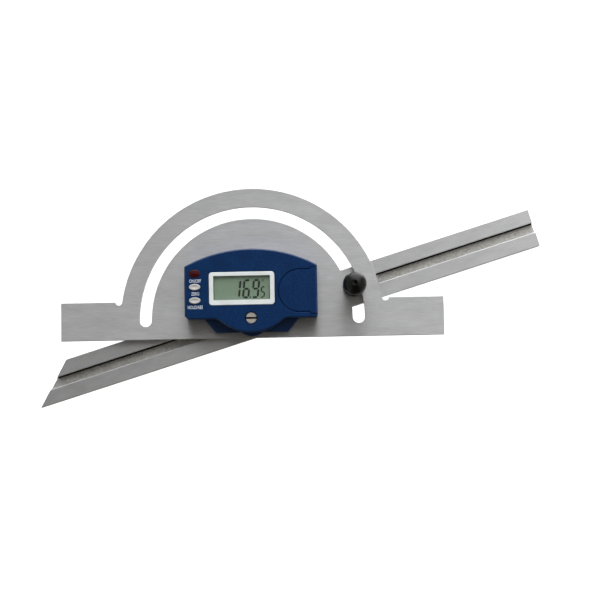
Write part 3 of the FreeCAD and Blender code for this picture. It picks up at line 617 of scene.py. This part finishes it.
class ANGLE_OT_buttons(Operator):
    """Model the power button and the two white buttons"""
    bl_idname = "angle.buttons"
    bl_label = "Buttons"

    def execute(self, context):
        settings = context.scene.angle_buttons
        # Both are glossy, and the white ones, worn by fingers, a little less so.
        red = moulded_plastic("moulded ABS, red", settings.red, roughness=0.22, mould_grain=0.5 * MM,
                              depth=0.0008 * MM)
        white = moulded_plastic("moulded ABS, button white", settings.white, roughness=0.3,
                                mould_grain=0.5 * MM, depth=0.001 * MM)
        for node, material, slot, rise in (("power_button", red, "button_red", settings.crown),
                                           ("zero_button", white, "button_white", -settings.dish),
                                           ("hold_button", white, "button_white", -settings.dish)):
            piece = model_button(f"{node}_cap", node, settings, rise)
            dress(piece, material, node, [node])
        return {"FINISHED"}


# The word at each button, and its width and height in millimetres.
WORDS = (("power_button", "ON/OFF", 6.6, 1.9), ("zero_button", "ZERO", 4.5, 1.8),
         ("hold_button", "HOLD/ABS", 8.4, 1.9))
WORD_SHIFT = 0.3 * MM    # a word's middle, to the right of its button's middle
WORD_DROP = 1.45 * MM    # a word's middle, below the lower edge of its button's flange
WORD_INK = 0.02 * MM     # thickness of the print


class ANGLE_OT_labels(Operator):
    """Print the words under the buttons"""
    bl_idname = "angle.labels"
    bl_label = "Button words"

    def execute(self, context):
        covers = context.scene.angle_covers
        # Printed ink is a thin dull skin that takes the moulding's grain.
        ink = moulded_plastic("pad-printed ink", covers.print_white, roughness=0.5, mould_grain=0.3 * MM,
                              depth=0.001 * MM)
        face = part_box("front_cover")[1].z
        for node, text, width, height in WORDS:
            low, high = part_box(node)
            start_clean()
            bpy.ops.object.text_add()
            word = bpy.context.active_object
            word.data.body = text
            word.data.align_x = "CENTER"
            word.data.extrude = 0.01    # any thickness, scaled below
            word.data.offset = 0.004    # a little bolder than the font
            bpy.ops.object.convert(target="MESH")
            word = bpy.context.active_object
            corners = [Vector(c) for c in word.bound_box]
            span = [max(c[i] for c in corners) - min(c[i] for c in corners) for i in range(3)]
            mid = [(max(c[i] for c in corners) + min(c[i] for c in corners)) / 2 for i in range(3)]
            share = (width * MM / span[0], height * MM / span[1], WORD_INK / span[2])
            at = ((low.x + high.x) / 2 + WORD_SHIFT, low.y - WORD_DROP, face + WORD_INK / 2)
            word.scale = share
            word.location = [at[i] - mid[i] * share[i] for i in range(3)]
            piece = settled(f"words_{node}")
            dress(done(piece), ink, "plate")
        return {"FINISHED"}


# Which of the seven segments a digit lights, a to g: top, upper right, lower right, bottom, lower left,
# upper left, middle.
LIT = {"0": "abcdef", "1": "bc", "2": "abged", "3": "abgcd", "4": "fgbc", "5": "afgcd", "6": "afgedc",
       "7": "abc", "8": "abcdefg", "9": "abfgcd"}


def model_segment(name, length, stroke, upright):
    """A flat bar with pointed ends, centred on the origin."""
    start_clean()
    bpy.ops.mesh.primitive_plane_add(size=1)
    bpy.context.active_object.scale = (length - stroke, stroke, 1)
    piece = settled(name)
    edit(piece)
    for side in (-1, 1):
        pick(piece, "EDGE", lambda edge, at: at.x * side > length / 2 - stroke / 2 - HAIR)
        bpy.ops.mesh.extrude_region_move(TRANSFORM_OT_translate={"value": (side * stroke / 2, 0, 0)})
        bpy.ops.transform.resize(value=(1, 0, 1), center_override=(0, 0, 0))
    pick(piece, "FACE", lambda face, at: True)
    bpy.ops.mesh.extrude_region_move(TRANSFORM_OT_translate={"value": (0, 0, INK)})
    done(piece)
    if upright:
        edit(piece)
        bpy.ops.mesh.select_all(action="SELECT")
        bpy.ops.transform.rotate(value=math.radians(90), orient_axis="Z", center_override=(0, 0, 0))
        bpy.ops.object.mode_set(mode="OBJECT")
    return piece


def place_copies(template, spots):
    """Copies of a segment, each with its own mesh, at the given places."""
    copies = []
    for x, y in spots:
        copy = template.copy()
        copy.data = template.data.copy()
        copy.data.transform(Matrix.Translation((x, y, 0)))
        bpy.context.scene.collection.objects.link(copy)
        copies.append(copy)
    bpy.data.objects.remove(template)
    return copies


def segment_spots(digit, x, width, height):
    """Middles of the lit segments of one digit: flat ones first, then upright ones."""
    flat = {"a": (x, height), "g": (x, height / 2), "d": (x, 0)}
    upright = {"b": (x + width / 2, height * 0.75), "c": (x + width / 2, height * 0.25),
               "e": (x - width / 2, height * 0.25), "f": (x - width / 2, height * 0.75)}
    lit = LIT[digit]
    return [flat[s] for s in lit if s in flat], [upright[s] for s in lit if s in upright]


FOIL = 0.05 * MM                 # height of the foil on the cell's face
INK = 0.02 * MM                  # thickness of the segments
FOIL_HALF_WIDTH = 15.9 * MM      # of the part that shows, with painted shade at its ends
READING_LEFT = 16.9 * MM         # from the bezel's right side to the middle of the second digit
READING_BASE = 4.87 * MM         # from the bezel's lower side to the digits' bottom segments
SMALL_WIDTH, SMALL_HEIGHT, SMALL_STROKE = 1.85 * MM, 5.7 * MM, 0.78 * MM
SMALL_FLAT, SMALL_UPRIGHT = 1.7 * MM, 2.65 * MM    # lengths of the small digit's segments
SMALL_NEARER = 1.15 * MM         # the small digit stands nearer than the next large one would
RING_NEARER, RING_DROP = 1.75 * MM, 0.15 * MM      # the same for the degree ring, and its drop from the top


class ANGLE_OT_display(Operator):
    """Model the liquid crystal cell and the reading it shows"""
    bl_idname = "angle.display"
    bl_label = "Display"

    def execute(self, context):
        display = context.scene.angle_display
        low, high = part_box("lcd_panel")
        cell = self.cell(low, high - Vector((0, 0, FOIL + INK)))
        crystal = liquid_crystal("liquid crystal cell", display.glass, (low + high) / 2, FOIL_HALF_WIDTH)
        dress(cell, crystal, "plate", ["lcd_panel"])
        digits = self.reading(display)
        lean = Matrix(((1, display.slant, 0, 0), (0, 1, 0, 0), (0, 0, 1, 0), (0, 0, 0, 1)))
        bezel_low, bezel_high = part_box("display_bezel")
        origin = Vector((bezel_high.x - READING_LEFT, bezel_low.y + READING_BASE, high.z - INK))
        digits.data.transform(Matrix.Translation(origin) @ lean)
        dress(digits, switched_segment("liquid crystal, switched on", display.segment), "plate")
        return {"FINISHED"}

    def cell(self, low, high):
        """A glass cell with a raised foil on its face."""
        corner, margin = 0.3 * MM, 0.6 * MM
        start_clean()
        bpy.ops.mesh.primitive_cube_add(size=1, location=(low + high) / 2)
        bpy.context.active_object.scale = high - low
        piece = settled("display_cell")
        edit(piece)
        pick(piece, "EDGE", lambda edge, at: abs(edge.verts[0].co.z - edge.verts[1].co.z) > HAIR)
        bpy.ops.mesh.bevel(offset=corner, segments=2, affect="EDGES")
        pick(piece, "FACE", lambda face, at: at.z > high.z - HAIR)
        centre, half = (low + high) / 2, (high - low) / 2
        pull(piece, centre, half.x - margin, 0, half.y - margin)
        pull(piece, centre, rise=FOIL)
        return done(piece)

    def reading(self, display):
        """The large digits, the point, the small digit and the degree ring, on the line y = 0.

        The second digit is at x = 0. Segments are a little shorter than the way between their corners, so
        that gaps stay between them.
        """
        width, height, stroke = display.digit_width, display.digit_height, display.stroke
        flat, upright, x = [], [], -display.pitch
        point_x = 0.0
        for character in display.reading:
            if character == ".":
                point_x = x - display.pitch / 2
                continue
            lit_flat, lit_upright = segment_spots(character, x, width, height)
            flat += lit_flat
            upright += lit_upright
            x += display.pitch
        small_flat, small_upright = segment_spots(display.small_reading, x - SMALL_NEARER, SMALL_WIDTH,
                                                  SMALL_HEIGHT)
        pieces = place_copies(model_segment("flat", width - stroke * 0.25, stroke, False), flat)
        pieces += place_copies(model_segment("upright", height / 2 - stroke * 0.35, stroke, True), upright)
        pieces += place_copies(model_segment("small_flat", SMALL_FLAT, SMALL_STROKE, False), small_flat)
        pieces += place_copies(model_segment("small_upright", SMALL_UPRIGHT, SMALL_STROKE, True),
                               small_upright)
        pieces.append(self.dot(point_x))
        pieces.append(self.degree_ring(x - RING_NEARER, height - RING_DROP))
        return joined("display_reading", pieces)

    def dot(self, x):
        start_clean()
        bpy.ops.mesh.primitive_cylinder_add(vertices=24, radius=0.45 * MM, depth=INK,
                                            location=(x, 0, INK / 2))
        return done(settled("point"))

    def degree_ring(self, x, y):
        outer, inner = 0.62 * MM, 0.34 * MM
        between = 0.5 * MM
        start_clean()
        bpy.ops.mesh.primitive_cylinder_add(vertices=32, radius=outer, depth=INK, end_fill_type="NOTHING",
                                            location=(x, y, INK / 2))
        piece = settled("degree")
        centre = Vector((x, y, 0))
        edit(piece)
        for level in (INK, 0.0):
            pick(piece, "VERT", lambda vertex, at: abs(at.z - level) < HAIR
                 and (at - centre).to_2d().length > between)
            pull(piece, centre, inner)
        pick(piece, "EDGE", lambda edge, at: edge.is_boundary)
        bpy.ops.mesh.bridge_edge_loops()
        return done(piece)


class ANGLE_OT_clamp_knob(Operator):
    """Model the ball knob of the clamp"""
    bl_idname = "angle.clamp_knob"
    bl_label = "Clamp knob"

    def execute(self, context):
        knob = context.scene.angle_knob
        low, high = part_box("clamp_knob")
        centre = Vector(((low.x + high.x) / 2, (low.y + high.y) / 2, 0))
        centre.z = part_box("protractor_plate")[1].z + knob.ball_height
        start_clean()
        bpy.ops.mesh.primitive_uv_sphere_add(segments=96, ring_count=56, radius=knob.ball_radius,
                                             location=centre)
        piece = settled("ball_knob")
        edit(piece)
        self.stem(piece, knob, centre, low.z)
        self.dimple(piece, knob, centre)
        done(piece, smooth_deg=30)
        # Polished phenolic is deep black with a soft, slightly uneven gloss.
        material = moulded_plastic("moulded phenolic, black", knob.black, roughness=0.29,
                                   mould_grain=1.2 * MM, depth=0.0008 * MM, ior=1.37)
        dress(piece, material, "knob", ["clamp_knob"])
        return {"FINISHED"}

    def stem(self, piece, knob, centre, bottom):
        """Opens the ball below and draws out the stem, the foot and the seat of the insert."""
        pick(piece, "FACE", lambda face, at: at.z < centre.z
             and (at - centre).to_2d().length < knob.stem_radius)
        bpy.ops.mesh.delete(type="FACE")
        pick(piece, "EDGE", lambda edge, at: edge.is_boundary)
        bring(piece, centre, knob.stem_radius)
        rim = [v.co.z for v in bmesh.from_edit_mesh(piece.data).verts if v.select]
        rim = sum(rim) / len(rim)
        foot_top = bottom + knob.foot_height
        slope, upper_edge, lower_edge = 0.3 * MM, 0.25 * MM, 0.2 * MM
        pull(piece, centre, rise=foot_top + slope - rim)
        pull(piece, centre, knob.foot_radius - upper_edge, -slope)
        pull(piece, centre, knob.foot_radius, -upper_edge)
        pull(piece, centre, rise=bottom - foot_top + upper_edge + lower_edge)
        pull(piece, centre, knob.foot_radius - lower_edge, -lower_edge)
        pull(piece, centre, knob.core_radius)
        pull(piece, centre, rise=knob.core_length)
        bpy.ops.mesh.edge_face_add()

    def dimple(self, piece, knob, centre):
        """Opens the top and sinks the lathe's centre hole."""
        pick(piece, "FACE", lambda face, at: at.z > centre.z
             and (at - centre).to_2d().length < knob.dimple_radius)
        bpy.ops.mesh.delete(type="FACE")
        pick(piece, "EDGE", lambda edge, at: edge.is_boundary)
        mouth, lip, bore, cone = 0.12 * MM, 0.03 * MM, knob.dimple_depth - 0.3 * MM, 0.25 * MM
        bring(piece, centre, knob.dimple_radius + mouth)
        pull(piece, centre, knob.dimple_radius + lip, -lip)
        pull(piece, centre, knob.dimple_radius, -mouth)
        pull(piece, centre, rise=-bore)
        pull(piece, centre, knob.dimple_radius * 0.4, -cone)
        bpy.ops.mesh.edge_face_add()


FLOOR_SIZE = 60                  # metres
FLOOR_DROP = 0.2 * MM            # the floor lies just below the rail's back face
WARM, WHITE = (1, 0.88, 0.68, 1), (1, 1, 1, 1)    # scene-linear light from the dim side, and all other light
TO_STRIP, TO_CEILING, TO_SIDE = (0.34, 0.94, 0), (-0.18, 0.1, 0.98), (1, 0, 0)    # directions in the tent
CAMERA_EYE = Vector((32.83, -29.03, 598.35)) * MM    # this and the target start at the plate's front face
CAMERA_TARGET = Vector((27.424, 10.175, 0)) * MM
CAMERA_ROLL = math.radians(1.107)
SENSOR_MM = 36


class ANGLE_OT_stage(Operator):
    """Set up the floor, the light and the camera"""
    bl_idname = "angle.stage"
    bl_label = "Stage"

    def execute(self, context):
        stage = context.scene.angle_stage
        context.scene.view_settings.view_transform = "Standard"
        start_clean()
        bpy.ops.mesh.primitive_plane_add(size=FLOOR_SIZE, location=(0, 0, -FLOOR_DROP))
        floor = settled("floor")
        floor.data.materials.append(matt_paper("matt paper", stage.floor))
        floor.visible_glossy = False
        floor.visible_diffuse = False
        self.tent(stage)
        key = self.lamp("key", towards=(0.25, 0.9, 0.55), softness_deg=30, strength=stage.key, floor=floor,
                        state="EXCLUDE")
        key.visible_glossy = False
        floor_lamp = self.lamp("floor_lamp", towards=(0, 0, 1), softness_deg=25, strength=stage.floor_light,
                               floor=floor, state="INCLUDE")
        floor_lamp.data.use_shadow = False
        self.camera(stage)
        return {"FINISHED"}

    def tent(self, stage):
        """A strip of light from behind the bow to a dim side below the base, between even side walls.

        The ceiling is dim, and what the camera sees past the floor is as pale as the floor.
        """
        world = bpy.data.worlds.new("light tent")
        world.use_nodes = True
        tree = world.node_tree
        direction = add_node(tree, "ShaderNodeTexCoord").outputs["Generated"]
        across, above, aside = (add_node(tree, "ShaderNodeVectorMath", {0: direction, 1: towards},
                                         operation="DOT_PRODUCT").outputs["Value"]
                                for towards in (TO_STRIP, TO_CEILING, TO_SIDE))
        walls = add_node(tree, "ShaderNodeMapRange", {
            "Value": across, "From Min": -0.25, "From Max": 0.9, "To Min": stage.dim_side,
            "To Max": stage.bright_side}).outputs["Result"]
        share = add_node(tree, "ShaderNodeMapRange", {
            "Value": above, "From Min": 0.66, "From Max": 0.95, "To Min": 1, "To Max": stage.ceiling},
            interpolation_type="SMOOTHSTEP").outputs["Result"]
        strip = add_node(tree, "ShaderNodeMath", {0: walls, 1: share}, operation="MULTIPLY").outputs[0]
        away = add_node(tree, "ShaderNodeMath", {0: aside, 1: 0.1}, operation="SUBTRACT").outputs[0]
        away = add_node(tree, "ShaderNodeMath", {0: away}, operation="ABSOLUTE").outputs[0]
        beside = add_node(tree, "ShaderNodeMapRange", {
            "Value": away, "From Min": 0.42, "From Max": 0.7}).outputs["Result"]
        warmth = add_node(tree, "ShaderNodeMapRange", {
            "Value": across, "From Min": -0.25, "From Max": 0.3}).outputs["Result"]
        seen = add_node(tree, "ShaderNodeLightPath").outputs["Is Camera Ray"]
        tint = WARM
        for whiteness in (warmth, beside, seen):
            tint = add_node(tree, "ShaderNodeMix", {0: whiteness, 6: tint, 7: WHITE},
                            data_type="RGBA").outputs[2]
        strength = strip
        for part, level in ((beside, stage.side_walls), (seen, 1)):
            strength = add_node(tree, "ShaderNodeMapRange", {
                "Value": part, "To Min": strength, "To Max": level}).outputs["Result"]
        background = tree.nodes["Background"]
        tree.links.new(tint, background.inputs["Color"])
        tree.links.new(strength, background.inputs["Strength"])
        bpy.context.scene.world = world

    def lamp(self, name, towards, softness_deg, strength, floor, state):
        """A soft distant light that leaves the floor out, or lights nothing else."""
        light = bpy.data.lights.new(name, "SUN")
        light.energy = strength
        light.angle = math.radians(softness_deg)
        lamp = bpy.data.objects.new(name, light)
        lamp.rotation_euler = Vector(towards).to_track_quat("Z", "Y").to_euler()
        bpy.context.scene.collection.objects.link(lamp)
        lit = bpy.data.collections.new(f"lit by {name}")
        lit.objects.link(floor)
        lamp.light_linking.receiver_collection = lit
        lit.collection_objects[0].light_linking.link_state = state
        return lamp

    def camera(self, stage):
        """Looks down on the tool from a little below its base, with the base turned one degree."""
        front = Vector((0, 0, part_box("protractor_plate")[1].z))
        eye = CAMERA_EYE + front
        target = CAMERA_TARGET + front
        back = (eye - target).normalized()
        right = Vector((math.cos(CAMERA_ROLL), -math.sin(CAMERA_ROLL), 0))
        right = (right - back * right.dot(back)).normalized()
        up = back.cross(right)
        camera = bpy.data.objects.new("camera", bpy.data.cameras.new("camera"))
        camera.data.lens = stage.lens
        camera.data.sensor_width = SENSOR_MM
        camera.data.clip_start = 0.01
        camera.matrix_world = Matrix.Translation(eye) @ Matrix((right, up, back)).transposed().to_4x4()
        bpy.context.scene.collection.objects.link(camera)
        bpy.context.scene.camera = camera


class ANGLE_PT_panel(Panel):
    """Sidebar panel with the pieces and their settings"""
    bl_idname = "ANGLE_PT_panel"
    bl_label = "Angle finder"
    bl_space_type = "VIEW_3D"
    bl_region_type = "UI"
    bl_category = "Angle finder"

    def draw(self, context):
        for name in GROUPS:
            box = self.layout.box()
            group = getattr(context.scene, name)
            for setting in group.bl_rna.properties:
                if not setting.is_readonly and setting.identifier != "name":
                    box.prop(group, setting.identifier)
        for operator in OPERATORS:
            self.layout.operator(operator.bl_idname)


GROUPS = {"angle_steel": SteelSettings, "angle_covers": CoverSettings, "angle_buttons": ButtonSettings,
          "angle_display": DisplaySettings, "angle_knob": KnobSettings, "angle_stage": StageSettings}
OPERATORS = (ANGLE_OT_stage, ANGLE_OT_steel_parts, ANGLE_OT_covers, ANGLE_OT_buttons, ANGLE_OT_labels,
             ANGLE_OT_display, ANGLE_OT_clamp_knob)
CLASSES = (*GROUPS.values(), *OPERATORS, ANGLE_PT_panel)


def register():
    for cls in CLASSES:
        bpy.utils.register_class(cls)
    for name, group in GROUPS.items():
        setattr(bpy.types.Scene, name, PointerProperty(type=group))


def unregister():
    for name in GROUPS:
        delattr(bpy.types.Scene, name)
    for cls in reversed(CLASSES):
        bpy.utils.unregister_class(cls)


def main():
    register()
    bpy.ops.angle.stage()
    bpy.ops.angle.steel_parts()
    bpy.ops.angle.covers()
    bpy.ops.angle.buttons()
    bpy.ops.angle.labels()
    bpy.ops.angle.display()
    bpy.ops.angle.clamp_knob()
    start_clean()


if __name__ == "__main__":
    main()
